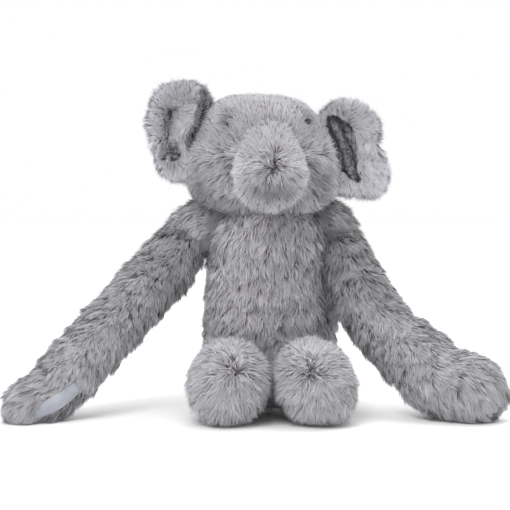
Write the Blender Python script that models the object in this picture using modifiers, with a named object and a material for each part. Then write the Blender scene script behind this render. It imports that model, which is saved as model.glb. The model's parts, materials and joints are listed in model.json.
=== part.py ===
"""Stuffed elephant, sitting: plush skins, stuffing, bead eyes and sewn limb roots.

Metres, +Z up. The toy sits on z = 0 and faces -Y; +X is its own left. The origin is on the seat,
under the middle of the torso. Every limb root is a ball that turns in a round socket.
"""
import math

import bmesh
import bpy
from mathutils import Matrix, Vector

# ---- driving dimensions (m) ----------------------------------------------------------------------
CLOTH = 0.0032            # plush fabric, backing and flattened pile
LINING = 0.0020           # short-pile cloth of the ear lining and the palms
GAP = 0.0005              # between a skin and its stuffing
TORSO_GAP = 0.0018        # the same in the torso, whose faces are larger
CLEAR = 0.0006            # between parts that turn in each other
SEAM = 0.0014             # a turned-in seam allowance, gathered into a ring

TORSO_MID_Z = 0.092
TORSO_HALF_HEIGHT = 0.104
TORSO_HALF_WIDTHS = (0.067, 0.060)      # at the seat and at the shoulders
TORSO_DEPTH = 0.86                      # depth over width
TORSO_SQUARENESS = 3.4
LAP_NORMAL = Vector((0, -math.cos(math.radians(30)), -math.sin(math.radians(30))))
LAP_OFFSET = 0.0150                     # of the sloping lower front, where the legs are sewn on

NECK = Vector((0, 0, 0.190))
NECK_RADIUS = 0.0290
HEAD_CENTRE = Vector((-0.003, -0.006, 0.250))
HEAD_RADII = Vector((0.060, 0.058, 0.055))

TRUNK_ROOT = Vector((0, -0.073, 0.252))
TRUNK_KNUCKLE = Vector((0, -0.108, 0.238))
TRUNK_END = Vector((0, -0.147, 0.222))
TRUNK_RADIUS = 0.0275

SHOULDER_RADIUS = 0.0240
ARM_RADIUS = 0.0250
HAND_RADIUS = {"right": 0.0265, "left": 0.0290}
SHOULDERS = {"right": Vector((-0.0755, 0, 0.165)), "left": Vector((0.0755, 0, 0.165))}
ELBOWS = {"right": Vector((-0.133, -0.054, 0.107)), "left": Vector((0.101, -0.053, 0.099))}
HANDS = {"right": Vector((-0.213, -0.117, 0.0275)), "left": Vector((0.190, -0.113, 0.0300))}

PALM_FACES = Vector((0, -0.8, -0.6))

HIP_RADIUS = 0.0240
HIP_X = 0.0385
HIP_Y = -0.052
HIP_Z = 0.0420
SOLE_Y = -0.168
FOOT_Z = 0.0330
FOOT_RADIUS = 0.0340

EARS = {
    "right": {"centre": Vector((-0.0920, -0.006, 0.268)), "half": (0.0255, 0.047), "cup": 0.016},
    "left": {"centre": Vector((0.0900, -0.004, 0.252)), "half": (0.0265, 0.045), "cup": 0.012},
}
EYES = {"right": Vector((-0.0385, 0, 0.275)), "left": Vector((0.0345, 0, 0.278))}
EYE_RADIUS = 0.0048
SHANK_RADIUS = 0.0018
WASHER_RADIUS = 0.0070

TAIL_ROOT = Vector((0, 0.0560, 0.0400))
TAIL_END = Vector((0, 0.1000, 0.0180))
TAIL_RADIUS = 0.0090

# Round forms: segments round the axis, and rings from pole to pole.
BODY_FACETS = (20, 12)
BALL_FACETS = (18, 10)
LIMB_STEPS = 14
RING_STEPS = 20
EYE_STEPS = 12

PILE = (0.60, 0.59, 0.62)
PILE_SHADED = (0.48, 0.47, 0.50)
SHORT_PILE = (0.10, 0.10, 0.12)
PALM_CLOTH = (0.66, 0.67, 0.72)
STUFFING = (0.90, 0.90, 0.88)
BAG_CLOTH = (0.80, 0.78, 0.72)
BLACK_BEAD = (0.012, 0.012, 0.014)
WASHER_WHITE = (0.82, 0.82, 0.80)
TAPE_WHITE = (0.88, 0.88, 0.88)

# ---- helpers -------------------------------------------------------------------------------------
for old in list(bpy.data.objects):
    bpy.data.objects.remove(old, do_unlink=True)

PARTS = bpy.data.collections.new("StuffedElephant")
CUTTERS = bpy.data.collections.new("Cutters")
bpy.context.scene.collection.children.link(PARTS)
bpy.context.scene.collection.children.link(CUTTERS)


def material(name, colour, roughness=0.9, metallic=0.0):
    """A Principled material of one colour."""
    made = bpy.data.materials.new(name)
    made.use_nodes = True
    shader = made.node_tree.nodes["Principled BSDF"]
    shader.inputs["Base Color"].default_value = (*colour, 1.0)
    shader.inputs["Roughness"].default_value = roughness
    shader.inputs["Metallic"].default_value = metallic
    return made


def add_object(name, mesh, origin, finish=None):
    """Link a mesh as a part, or as a cutter when it has no finish, with its origin on a joint."""
    obj = bpy.data.objects.new(name, mesh)
    mesh.transform(Matrix.Translation(-origin))
    obj.location = origin
    if finish is None:
        CUTTERS.objects.link(obj)
        obj.hide_render = True
        obj.display_type = 'WIRE'
    else:
        PARTS.objects.link(obj)
        mesh.materials.append(finish)
        mesh.shade_smooth()
    return obj


def boolean(obj, cutter, operation='DIFFERENCE'):
    """Cut, join or intersect an object with a cutter."""
    step = obj.modifiers.new(f"{operation.title()} {cutter.name}", 'BOOLEAN')
    step.operation = operation
    step.solver = 'EXACT'
    step.object = cutter


def form_mesh(name, shape, inset, facets=BODY_FACETS):
    """A unit sphere pushed into a shape that is made smaller all round by an inset."""
    bm = bmesh.new()
    bmesh.ops.create_uvsphere(bm, u_segments=facets[0], v_segments=facets[1], radius=1.0)
    for vert in bm.verts:
        vert.co = shape(vert.co, inset)
    mesh = bpy.data.meshes.new(name)
    bm.to_mesh(mesh)
    bm.free()
    return mesh


def ball_mesh(name, centre, radius, facets=BALL_FACETS):
    """A round ball."""
    return form_mesh(name, lambda co, inset: centre + co * (radius - inset), 0.0, facets)


def turned_object(name, outline, origin, direction, finish=None, steps=LIMB_STEPS):
    """Turn an outline of (radius, height) points, listed from the far end down its outer side."""
    mesh = bpy.data.meshes.new(name)
    edges = [(i, i + 1) for i in range(len(outline) - 1)]
    closed = outline[0][0] > 0.0
    if closed:
        edges.append((len(outline) - 1, 0))
    mesh.from_pydata([(radius, 0.0, height) for radius, height in outline], edges, [])
    obj = add_object(name, mesh, Vector((0, 0, 0)), finish)
    obj.location = origin
    obj.rotation_euler = Vector(direction).to_track_quat('Z', 'Y').to_euler()
    screw = obj.modifiers.new("Turn", 'SCREW')
    screw.axis = 'Z'
    screw.steps = steps
    screw.render_steps = steps
    screw.use_merge_vertices = True
    screw.merge_threshold = 0.00005
    screw.use_normal_calculate = False
    return obj


def inset_outline(outline, distance):
    """Move an outline in from its outer side; points on the axis stay on it."""
    moved = []
    for i, (radius, height) in enumerate(outline):
        before = outline[max(i - 1, 0)]
        after = outline[min(i + 1, len(outline) - 1)]
        along = Vector((after[0] - before[0], after[1] - before[1])).normalized()
        if radius == 0.0:
            along = Vector((1.0, 0.0))
        inward = Vector((along.y, -along.x))
        new_radius = 0.0 if radius == 0.0 else max(radius + inward.x * distance, 0.0)
        moved.append((new_radius, height + inward.y * distance))
    return moved


def arc(radius, start, end, count, height=0.0):
    """Points on a circle round (0, height); angles in degrees from the far end of the axis."""
    points = []
    for i in range(count + 1):
        angle = math.radians(start + (end - start) * i / count)
        across = 0.0 if abs(math.sin(angle)) < 1e-6 else radius * math.sin(angle)
        points.append((across, height + radius * math.cos(angle)))
    return points


def socket(name, centre, ball_radius, has_ring=True):
    """The cutter of a round socket that a ball, and its seam ring, turn in; its flats clear them."""
    room = CLEAR + (SEAM + CLEAR if has_ring else 0.0)
    flats = math.cos(math.pi / BALL_FACETS[0]) * math.cos(math.pi / 2 / BALL_FACETS[1])
    return add_object(name, ball_mesh(name, centre, (ball_radius + room) / flats), centre)


def seam_ring(name, centre, ball_radius, back, finish, start, end):
    """A zone of a sphere round a limb's ball: the gathered seam allowance at the limb's root."""
    outer = arc(ball_radius + CLEAR + SEAM, start, end, 2)
    inner = arc((ball_radius + CLEAR) / math.cos(math.pi / RING_STEPS), start, end, 2)
    return turned_object(name, outer + inner[::-1], centre, back, finish, steps=RING_STEPS)


# ---- materials -----------------------------------------------------------------------------------
PILE_CLOTH = material("LongPile", PILE)
LIMB_CLOTH = material("LongPileLimbs", PILE_SHADED)
EAR_CLOTH = material("ShortPile", SHORT_PILE)
PALM = material("PalmCloth", PALM_CLOTH)
FILLING = material("Stuffing", STUFFING)
BAG = material("PelletBag", BAG_CLOTH, 0.8)
BEAD = material("EyeBead", BLACK_BEAD, 0.12)
WASHER = material("LockWasher", WASHER_WHITE, 0.45)
TAPE = material("LabelTape", TAPE_WHITE, 0.6)


# ---- torso ---------------------------------------------------------------------------------------
def torso_point(co, inset):
    """A pear with a squarish profile, a flat seat and a sloping lap for the legs."""
    across = (1.0 - abs(co.z) ** TORSO_SQUARENESS) ** (1.0 / TORSO_SQUARENESS)
    flat = Vector((co.x, co.y, 0.0))
    if flat.length > 0.0:
        flat.normalize()
    low, high = TORSO_HALF_WIDTHS
    width = low + (high - low) * (co.z + 1.0) / 2.0
    depth = width * TORSO_DEPTH
    point = Vector((flat.x * across * (width - inset), flat.y * across * (depth - inset),
                    TORSO_MID_Z + (TORSO_HALF_HEIGHT - inset) * co.z))
    beyond = point.dot(LAP_NORMAL) - (LAP_OFFSET - inset)
    if beyond > 0.0:
        point -= LAP_NORMAL * beyond
    point.z = max(point.z, inset)
    return point


SEAT = Vector((0, 0, 0))
HIPS = {"right": Vector((-HIP_X, HIP_Y, HIP_Z)), "left": Vector((HIP_X, HIP_Y, HIP_Z))}

neck_socket = socket("neck_socket_cut", NECK, NECK_RADIUS)
shoulder_sockets = [socket(f"{s}_shoulder_socket_cut", SHOULDERS[s], SHOULDER_RADIUS) for s in SHOULDERS]
hip_sockets = [socket(f"{s}_hip_socket_cut", HIPS[s], HIP_RADIUS) for s in HIPS]
tail_socket = socket("tail_socket_cut", TAIL_ROOT, TAIL_RADIUS, has_ring=False)
torso_sockets = [neck_socket, *shoulder_sockets, *hip_sockets, tail_socket]

torso_skin = add_object("torso_skin", form_mesh("torso_skin", torso_point, 0.0), SEAT, PILE_CLOTH)
torso_hollow = add_object("torso_hollow_cut", form_mesh("torso_hollow", torso_point, CLOTH), SEAT)
boolean(torso_skin, torso_hollow)
torso_fill = add_object("torso_fill", form_mesh("torso_fill", torso_point, CLOTH + TORSO_GAP), SEAT, FILLING)
for hole in torso_sockets:
    boolean(torso_skin, hole)
    boolean(torso_fill, hole)

BAG_RADII = Vector((0.040, 0.026, 0.017))
BAG_CENTRE = Vector((0, 0.012, CLOTH + GAP + 0.0165))


def bag_point(co, inset):
    """A flattened bag with a flat underside."""
    radii = BAG_RADII - Vector((inset, inset, inset))
    point = BAG_CENTRE + Vector((co.x * radii.x, co.y * radii.y, co.z * radii.z))
    point.z = max(point.z, CLOTH + GAP + 0.0010 + inset)
    return point


def bag_pocket_point(co, inset):
    """The pocket in the stuffing: the bag's own shape, left open at the underside."""
    point = bag_point(co, inset)
    if co.z < -0.5:
        point.z -= 0.0060
    return point


pellet_bag = add_object("pellet_bag", form_mesh("pellet_bag", bag_point, 0.0, (16, 8)), BAG_CENTRE, BAG)
bag_pocket = add_object("bag_pocket_cut", form_mesh("bag_pocket", bag_pocket_point, -0.0008, (16, 8)),
                        BAG_CENTRE)
boolean(torso_fill, bag_pocket)

# A blank care label sewn into the seam at the back of the left flank.
LABEL_SIZE = Vector((0.0008, 0.026, 0.016))
LABEL_CENTRE = Vector((0.0485, 0.0545, 0.0300))
label_bm = bmesh.new()
bmesh.ops.create_cube(label_bm, size=1.0)
bmesh.ops.scale(label_bm, vec=LABEL_SIZE, verts=label_bm.verts)
bmesh.ops.rotate(label_bm, cent=(0, 0, 0), matrix=Matrix.Rotation(math.radians(-38), 3, 'Z'),
                 verts=label_bm.verts)
bmesh.ops.translate(label_bm, vec=LABEL_CENTRE, verts=label_bm.verts)
label_mesh = bpy.data.meshes.new("care_label")
label_bm.to_mesh(label_mesh)
label_bm.free()
care_label = add_object("care_label", label_mesh, LABEL_CENTRE, TAPE)


# ---- head ----------------------------------------------------------------------------------------
def head_point(co, inset):
    """A slightly flattened round head."""
    radii = HEAD_RADII - Vector((inset, inset, inset))
    return HEAD_CENTRE + Vector((co.x * radii.x, co.y * radii.y, co.z * radii.z))


def neck_point(co, inset):
    """The ball of the neck."""
    return NECK + co * (NECK_RADIUS - inset)


def neck_and_head(name, inset, finish=None):
    """The head's round form joined to the ball of the neck, moved in by an inset."""
    form = add_object(name, form_mesh(name, head_point, inset), NECK, finish)
    ball_name = f"{name}_neck_join"
    ball = add_object(ball_name, form_mesh(ball_name, neck_point, inset, BALL_FACETS), NECK)
    boolean(form, ball, 'UNION')
    return form


head_skin = neck_and_head("head_skin", 0.0, PILE_CLOTH)
boolean(head_skin, neck_and_head("head_hollow_cut", CLOTH))
head_fill = neck_and_head("head_fill", CLOTH + GAP, FILLING)

STUFFING_HOLE = Vector((0, 0, NECK.z - NECK_RADIUS))
stuffing_hole = add_object("stuffing_hole_cut", ball_mesh("stuffing_hole", STUFFING_HOLE, 0.011, (12, 8)),
                           STUFFING_HOLE)
boolean(head_skin, stuffing_hole)

trunk_socket = socket("trunk_socket_cut", TRUNK_ROOT, TRUNK_RADIUS - 0.0015, has_ring=False)
boolean(head_skin, trunk_socket)
boolean(head_fill, trunk_socket)

# ---- eyes: a bead on a shank, locked by a washer behind the skin -----------------------------------
EYE_SEAT = CLOTH + GAP + 0.0010          # depth of the washer's outer face below the skin
WASHER_THICKNESS = 0.0016
SHANK_LENGTH = 0.0120
for side, spot in EYES.items():
    across = (spot.x - HEAD_CENTRE.x) / HEAD_RADII.x
    up = (spot.z - HEAD_CENTRE.z) / HEAD_RADII.z
    forward = -math.sqrt(1.0 - across ** 2 - up ** 2)
    surface = head_point(Vector((across, forward, up)), 0.0)
    outward = Vector((across / HEAD_RADII.x, forward / HEAD_RADII.y, up / HEAD_RADII.z)).normalized()
    bead_outline = arc(EYE_RADIUS, 0, 112, 6, EYE_RADIUS * 0.38 + 0.0005)
    bead_outline += [(SHANK_RADIUS, bead_outline[-1][1]), (SHANK_RADIUS, -SHANK_LENGTH),
                     (0.0, -SHANK_LENGTH)]
    turned_object(f"{side}_eye", bead_outline, surface, outward, BEAD, steps=EYE_STEPS)
    hole_radius = SHANK_RADIUS + 0.0004
    washer_outline = [(hole_radius, -EYE_SEAT), (WASHER_RADIUS, -EYE_SEAT),
                      (WASHER_RADIUS, -EYE_SEAT - WASHER_THICKNESS),
                      (hole_radius, -EYE_SEAT - WASHER_THICKNESS)]
    turned_object(f"{side}_eye_washer", washer_outline, surface, outward, WASHER, steps=EYE_STEPS)
    shank_hole = [(0.0, 0.004), (hole_radius, 0.004), (hole_radius, -CLOTH - 0.004),
                  (0.0, -CLOTH - 0.004)]
    boolean(head_skin, turned_object(f"{side}_shank_cut", shank_hole, surface, outward, steps=EYE_STEPS))
    pocket = [(0.0, 0.004), (WASHER_RADIUS + 0.0006, 0.004),
              (WASHER_RADIUS + 0.0006, -SHANK_LENGTH - 0.001), (0.0, -SHANK_LENGTH - 0.001)]
    boolean(head_fill, turned_object(f"{side}_washer_pocket_cut", pocket, surface, outward, steps=EYE_STEPS))


# ---- ears: a long-pile back and a short-pile lining, cupped forward ---------------------------------
def ear_sheet(name, side, depth, thickness, scale, finish):
    """One cupped oval layer of an ear, solidified backwards from its front face."""
    ear = EARS[side]
    bm = bmesh.new()
    bmesh.ops.create_grid(bm, x_segments=7, y_segments=7, size=1.0)
    for vert in bm.verts:
        x, z = vert.co.x, vert.co.y
        round_x = x * math.sqrt(1.0 - z * z / 2.0) * scale
        round_z = z * math.sqrt(1.0 - x * x / 2.0) * scale
        cup = ear["cup"] * (round_x ** 2 + round_z ** 2)
        vert.co = ear["centre"] + Vector((round_x * ear["half"][0], depth - cup, round_z * ear["half"][1]))
    bmesh.ops.reverse_faces(bm, faces=bm.faces)
    mesh = bpy.data.meshes.new(name)
    bm.to_mesh(mesh)
    bm.free()
    inner_edge = ear["centre"].x - math.copysign(ear["half"][0], ear["centre"].x)
    root = Vector((inner_edge, ear["centre"].y - ear["cup"] * 0.5, ear["centre"].z))
    obj = add_object(name, mesh, root, finish)
    layer = obj.modifiers.new("Thickness", 'SOLIDIFY')
    layer.thickness = thickness
    layer.offset = 1.0
    layer.use_even_offset = True
    return obj


for side in EARS:
    ear_sheet(f"{side}_ear_back", side, 0.0045, 0.0050, 1.0, PILE_CLOTH)
    ear_sheet(f"{side}_ear_lining", side, 0.0045 - 0.0060, LINING, 0.86, EAR_CLOTH)


# ---- turned limbs ----------------------------------------------------------------------------------
def limb_skin(name, outline, origin, direction, finish):
    """A fabric tube from an outline whose last point is the rim at the limb's root."""
    inner = inset_outline(outline, CLOTH)
    return turned_object(name, outline + inner[::-1], origin, direction, finish)


def limb_fill(name, outline, origin, direction, root_point):
    """The stuffing inside a limb's skin, closed on the axis at its root."""
    inner = inset_outline(outline, CLOTH + GAP)
    return turned_object(name, inner + [root_point], origin, direction, FILLING)


ROOT_OPENING = 148        # degrees from the limb's direction to the rim of its stuffing opening

for side in SHOULDERS:
    shoulder, elbow, hand = SHOULDERS[side], ELBOWS[side], HANDS[side]
    arm_way = (elbow - shoulder).normalized()
    arm_length = (elbow - shoulder).length
    fore_way = (hand - elbow).normalized()
    fore_length = (hand - elbow).length
    hand_radius = HAND_RADIUS[side]

    # Upper arm: a ball in the shoulder, a full sleeve, and a knuckle of stuffing in the elbow.
    sleeve_end = arm_length - 0.0120
    ball = arc(SHOULDER_RADIUS, 62, ROOT_OPENING, 5)
    sleeve = [(0.0225, sleeve_end), (ARM_RADIUS, sleeve_end - 0.022), (ARM_RADIUS, 0.044),
              (0.0234, 0.026)] + ball
    limb_skin(f"{side}_upper_arm_skin", sleeve, shoulder, arm_way, LIMB_CLOTH)
    knuckle = 0.0176
    fill = arc(knuckle, 0, 78, 5, arm_length)
    fill += [(0.0182, sleeve_end - 0.002)]
    fill += inset_outline(sleeve, CLOTH + GAP)[1:]
    fill += [(0.0, -SHOULDER_RADIUS * 0.80)]
    turned_object(f"{side}_upper_arm_fill", fill, shoulder, arm_way, FILLING)
    seam_ring(f"{side}_shoulder_seam_ring", shoulder, SHOULDER_RADIUS, arm_way, LIMB_CLOTH, 118, 144)

    # Forearm and hand: a sleeve with a round end, and stuffing that cups the elbow's knuckle.
    palm = arc(hand_radius, 0, 90, 5, fore_length)
    fore = palm + [(hand_radius * 0.98, fore_length - 0.030), (ARM_RADIUS, 0.040),
                   (ARM_RADIUS, 0.018), (0.0222, 0.0075)]
    limb_skin(f"{side}_forearm_skin", fore, elbow, fore_way, LIMB_CLOTH)
    cup = arc(knuckle + CLEAR, 42, 0, 3)
    fill = inset_outline(fore, CLOTH + GAP)[:-1] + [(0.0178, 0.0150)] + cup
    turned_object(f"{side}_forearm_fill", fill, elbow, fore_way, FILLING)

    # Palm patch: short-pile cloth laid over the lower front of the hand.
    over = inset_outline(fore, -GAP - LINING)[:-3]
    under = inset_outline(fore, -GAP)[:-3]
    patch_outline = over[2:] + under[2:][::-1]
    patch = turned_object(f"{side}_palm_patch", patch_outline, elbow, fore_way, PALM)
    palm_way = (PALM_FACES - fore_way * PALM_FACES.dot(fore_way)).normalized()
    spot = hand - fore_way * 0.012 + palm_way * (hand_radius - 0.004)
    patch_cut = add_object(f"{side}_palm_patch_cut", ball_mesh(f"{side}_palm_spot", spot, 0.0150), spot)
    boolean(patch, patch_cut, 'INTERSECT')

for side, hip in HIPS.items():
    foot = Vector((hip.x, SOLE_Y + 0.022, FOOT_Z))
    leg_way = (foot - hip).normalized()
    leg_length = (foot - hip).length + 0.022
    ball = arc(HIP_RADIUS, 66, ROOT_OPENING, 5)
    sole = [(0.0, leg_length), (0.014, leg_length - 0.0016), (0.0250, leg_length - 0.0065),
            (0.0315, leg_length - 0.0145)]
    leg = sole + [(FOOT_RADIUS, leg_length - 0.026), (FOOT_RADIUS, leg_length - 0.042),
                  (0.0310, 0.042), (0.0275, 0.024)] + ball
    limb_skin(f"{side}_leg_skin", leg, hip, leg_way, LIMB_CLOTH)
    limb_fill(f"{side}_leg_fill", leg, hip, leg_way, (0.0, -HIP_RADIUS * 0.80))
    seam_ring(f"{side}_hip_seam_ring", hip, HIP_RADIUS, leg_way, LIMB_CLOTH, 124, 148)

seam_ring("neck_seam_ring", NECK, NECK_RADIUS, Vector((0, 0, 1)), PILE_CLOTH, 112, 140)

# ---- trunk: two stuffed segments, the first with its ball in the face --------------------------------
TRUNK_BALL = TRUNK_RADIUS - 0.0015
base_way = (TRUNK_KNUCKLE - TRUNK_ROOT).normalized()
base_length = (TRUNK_KNUCKLE - TRUNK_ROOT).length
base_end = base_length - 0.0090
base = [(0.0245, base_end), (TRUNK_RADIUS, base_end - 0.010), (TRUNK_RADIUS, 0.010)]
base += arc(TRUNK_BALL, 78, ROOT_OPENING, 5)
limb_skin("trunk_base_skin", base, TRUNK_ROOT, base_way, PILE_CLOTH)
base_fill = arc(0.0190, 0, 78, 5, base_length) + [(0.0200, base_end - 0.002)]
base_fill += inset_outline(base, CLOTH + GAP)[1:] + [(0.0, -TRUNK_BALL * 0.80)]
turned_object("trunk_base_fill", base_fill, TRUNK_ROOT, base_way, FILLING)

tip_way = (TRUNK_END - TRUNK_KNUCKLE).normalized()
tip_length = (TRUNK_END - TRUNK_KNUCKLE).length
tip = [(0.0, tip_length), (0.012, tip_length - 0.0012), (0.0205, tip_length - 0.0055),
       (0.0255, tip_length - 0.0125), (0.0270, tip_length - 0.020), (0.0275, 0.016), (0.0245, 0.0080)]
limb_skin("trunk_tip_skin", tip, TRUNK_KNUCKLE, tip_way, PILE_CLOTH)
tip_fill = inset_outline(tip, CLOTH + GAP)[:-1] + [(0.0195, 0.0155)] + arc(0.0190 + CLEAR, 42, 0, 3)
turned_object("trunk_tip_fill", tip_fill, TRUNK_KNUCKLE, tip_way, FILLING)

# ---- tail ------------------------------------------------------------------------------------------
tail_way = (TAIL_END - TAIL_ROOT).normalized()
tail_length = (TAIL_END - TAIL_ROOT).length
tail = arc(TAIL_RADIUS * 0.9, 0, 90, 4, tail_length)
tail += [(TAIL_RADIUS, tail_length * 0.75), (TAIL_RADIUS * 0.78, tail_length * 0.40),
         (TAIL_RADIUS * 0.78, TAIL_RADIUS * 0.75)]
tail += arc(TAIL_RADIUS, 62, 180, 7)
turned_object("tail", tail, TAIL_ROOT, tail_way, LIMB_CLOTH, steps=12)
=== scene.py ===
"""Looks of the stuffed elephant: padded skins under a combed long pile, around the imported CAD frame.

Every soft form is a grid of points, rows along it and columns round it. The grid makes the padded
skin, and it also says where each fibre of the pile is rooted and which way it is combed.
"""

import json
import math

import bmesh
import bpy
import numpy as np
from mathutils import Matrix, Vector, kdtree


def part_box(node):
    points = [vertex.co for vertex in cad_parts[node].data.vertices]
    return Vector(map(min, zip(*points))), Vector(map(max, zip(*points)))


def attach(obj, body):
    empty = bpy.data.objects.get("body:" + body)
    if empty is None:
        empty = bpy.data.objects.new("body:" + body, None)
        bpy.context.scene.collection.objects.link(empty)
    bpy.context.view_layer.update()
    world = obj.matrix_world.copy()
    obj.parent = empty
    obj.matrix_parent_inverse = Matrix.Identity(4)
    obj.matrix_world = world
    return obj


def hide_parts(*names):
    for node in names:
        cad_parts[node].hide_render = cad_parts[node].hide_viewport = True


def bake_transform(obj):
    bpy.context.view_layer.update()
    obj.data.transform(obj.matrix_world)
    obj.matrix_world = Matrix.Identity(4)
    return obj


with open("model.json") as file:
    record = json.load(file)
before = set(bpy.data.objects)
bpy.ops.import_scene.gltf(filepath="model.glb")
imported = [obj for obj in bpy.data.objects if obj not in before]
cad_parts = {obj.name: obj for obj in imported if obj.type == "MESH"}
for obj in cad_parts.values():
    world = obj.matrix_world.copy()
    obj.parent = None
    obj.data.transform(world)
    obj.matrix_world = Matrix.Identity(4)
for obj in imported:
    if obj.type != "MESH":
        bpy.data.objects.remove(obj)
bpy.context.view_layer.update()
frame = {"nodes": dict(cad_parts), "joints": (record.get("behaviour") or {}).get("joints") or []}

# ---- measures from the frame (metres) ------------------------------------------------------------
PIVOT = {joint["name"]: np.array(joint["pos_m"]) for joint in frame["joints"]}
SIDES = {"right": -1.0, "left": 1.0}
UP = np.array([0.0, 0.0, 1.0])
FRONT = np.array([0.0, -1.0, 0.0])

SKIN_INSET = 0.0045        # padded skins lie this far inside the CAD solids, so the pile fills them
PILE_LENGTH = 0.0140
FIBRE_WIDTH = 0.00052
FLOOR_CLEAR = 0.0004       # the lowest that a fibre lies
FLOOR_LIFT = 0.0015        # the lowest that a padded skin lies
SOFT_SHADING = 0.65        # share of the skin's own normal in a fibre's shading
PIECE_FIBRES = 38000       # a pile with more fibres than this becomes several pieces
FOLD_PITCH = 0.026         # the torso cloth's level folds
FIBRES = {"torso": 74000, "shoulder": 19000, "head": 74000, "trunk": 37000, "ear": 46000,
          "lining": 12000, "arm": 74000, "leg": 60000, "tail": 4500}
# No fibre is rooted this near a joint, where it would grow inside the next body.
BARE = {"neck": 0.026, "trunk": 0.018, "shoulder": 0.019, "hip": 0.019, "arm": 0.021, "leg": 0.018}
ELBOW_BLEND = 0.020        # a reach this far either side of the elbow
KNUCKLE_BLEND = 0.012      # and this far either side of the trunk's knuckle


def box(node):
    """A CAD node's corners as arrays."""
    low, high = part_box(node)
    return np.array(low), np.array(high)


def unit(v):
    """Vectors of length one."""
    v = np.asarray(v, float)
    return v / np.maximum(np.linalg.norm(v, axis=-1, keepdims=True), 1e-9)


def smooth(x, low, high):
    """A smooth step from 0 at low to 1 at high."""
    t = np.clip((x - low) / (high - low), 0.0, 1.0)
    return t * t * (3.0 - 2.0 * t)


def waves(p, scale, seed):
    """Cheap smooth noise in [-1, 1] from a few crossed sines."""
    rng = np.random.default_rng(seed)
    total = np.zeros(p.shape[:-1])
    for _ in range(5):
        way = unit(rng.normal(size=3)) / scale * rng.uniform(0.7, 1.6)
        total += np.sin(p @ way * 2.0 * math.pi + rng.uniform(0, 6.28))
    return total / 5.0


def bump(x, centre, reach):
    """A soft weight: 1 at the centre, fading either side."""
    return np.exp(-((x - centre) / reach) ** 2)


def bump3(p, centre, reach):
    """A soft weight round a point in space."""
    return np.exp(-np.sum(((p - np.asarray(centre)) / np.asarray(reach)) ** 2, axis=-1))


def fold_at(p):
    """How far up a level fold of the torso cloth a point lies."""
    return np.sin(p[..., 2] / FOLD_PITCH * 2.0 * math.pi + waves(p, 0.07, 2) * 2.2)


def round_interp(values, turn):
    """Smooth values given at even steps round a circle."""
    k = np.floor(turn).astype(int)
    t = turn - k
    a, b, c, d = (values[(k + i) % len(values)] for i in (-1, 0, 1, 2))
    return b + 0.5 * t * (c - a + t * (2 * a - 5 * b + 4 * c - d + t * (3 * (b - c) + d - a)))


def ruffled(p, scale, seed):
    """A soft random direction that drifts from place to place."""
    return np.stack([waves(p, scale, seed + k) for k in range(3)], axis=-1)


# ---- grids ---------------------------------------------------------------------------------------
def smoothed(points, knots, spread, samples=400):
    """A dense smooth curve through points placed at knots from 0 to 1."""
    fine = np.linspace(0.0, 1.0, samples)
    line = np.stack([np.interp(fine, knots, points[:, k]) for k in range(points.shape[1])], axis=1)
    kernel = np.hanning(int(samples * spread) | 1)
    kernel /= kernel.sum()
    half = len(kernel) // 2
    padded = np.concatenate([2 * line[0] - line[half:0:-1], line, 2 * line[-1] - line[-2:-half - 2:-1]])
    return np.stack([np.convolve(padded[:, k], kernel, mode="valid") for k in range(points.shape[1])], axis=1)


def knots_of(points):
    """Where each point lies along a path, from 0 to 1."""
    knots = np.concatenate([[0.0], np.cumsum(np.linalg.norm(np.diff(points, axis=0), axis=1))])
    return knots / knots[-1]


def tube_grid(path, radii, rows, columns, flat=(1.0, 1.0)):
    """A lofted tube with closed ends round a smooth path; radii are (fraction, radius) pairs."""
    path = np.asarray(path, float)
    line = smoothed(path, knots_of(path), 0.16)
    fine = knots_of(line)
    at = 0.35 * (0.5 - 0.5 * np.cos(np.linspace(0.0, math.pi, rows))) + 0.65 * np.linspace(0.0, 1.0, rows)
    centre = np.stack([np.interp(at, fine, line[:, k]) for k in range(3)], axis=1)
    along = unit(np.gradient(line, axis=0))
    along = unit(np.stack([np.interp(at, fine, along[:, k]) for k in range(3)], axis=1))
    across = unit(np.cross(along, UP))
    over = unit(np.cross(across, along))
    radius = np.interp(at, [r[0] for r in radii], [r[1] for r in radii])
    angle = np.linspace(0.0, 2.0 * math.pi, columns, endpoint=False)
    ring = (across[:, None, :] * np.cos(angle)[None, :, None] * flat[0]
            + over[:, None, :] * np.sin(angle)[None, :, None] * flat[1])
    return centre[:, None, :] + ring * radius[:, None, None]


def stacked_grid(levels, rows, columns, square):
    """A rounded form through level sections: (height, centre x, centre y, half width, half depth)."""
    levels = np.asarray(levels, float)
    curve = smoothed(levels, knots_of(levels[:, [0, 3]]), 0.07)
    curve[:, 3:] = np.maximum(curve[:, 3:], 0.0)
    at = np.linspace(0.0, 1.0, rows)
    fine = knots_of(curve[:, [0, 3]])
    z, x, y, wide, deep = (np.interp(at, fine, curve[:, k])[:, None] for k in range(5))
    angle = np.linspace(0.0, 2.0 * math.pi, columns, endpoint=False)[None, :]
    c, s = np.cos(angle), np.sin(angle)
    c, s = np.sign(c) * np.abs(c) ** (2.0 / square), np.sign(s) * np.abs(s) ** (2.0 / square)
    return np.stack([x + wide * c, y + deep * s, z + 0.0 * c], axis=2)


def round_end(start, end, radius, count=7):
    """(fraction, radius) pairs of a rounded end between two fractions of a path."""
    pairs = []
    for i in range(count + 1):
        turn = i / count * math.pi / 2.0
        pairs.append((start + (end - start) * math.sin(turn), radius * math.cos(turn)))
    return pairs


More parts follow.
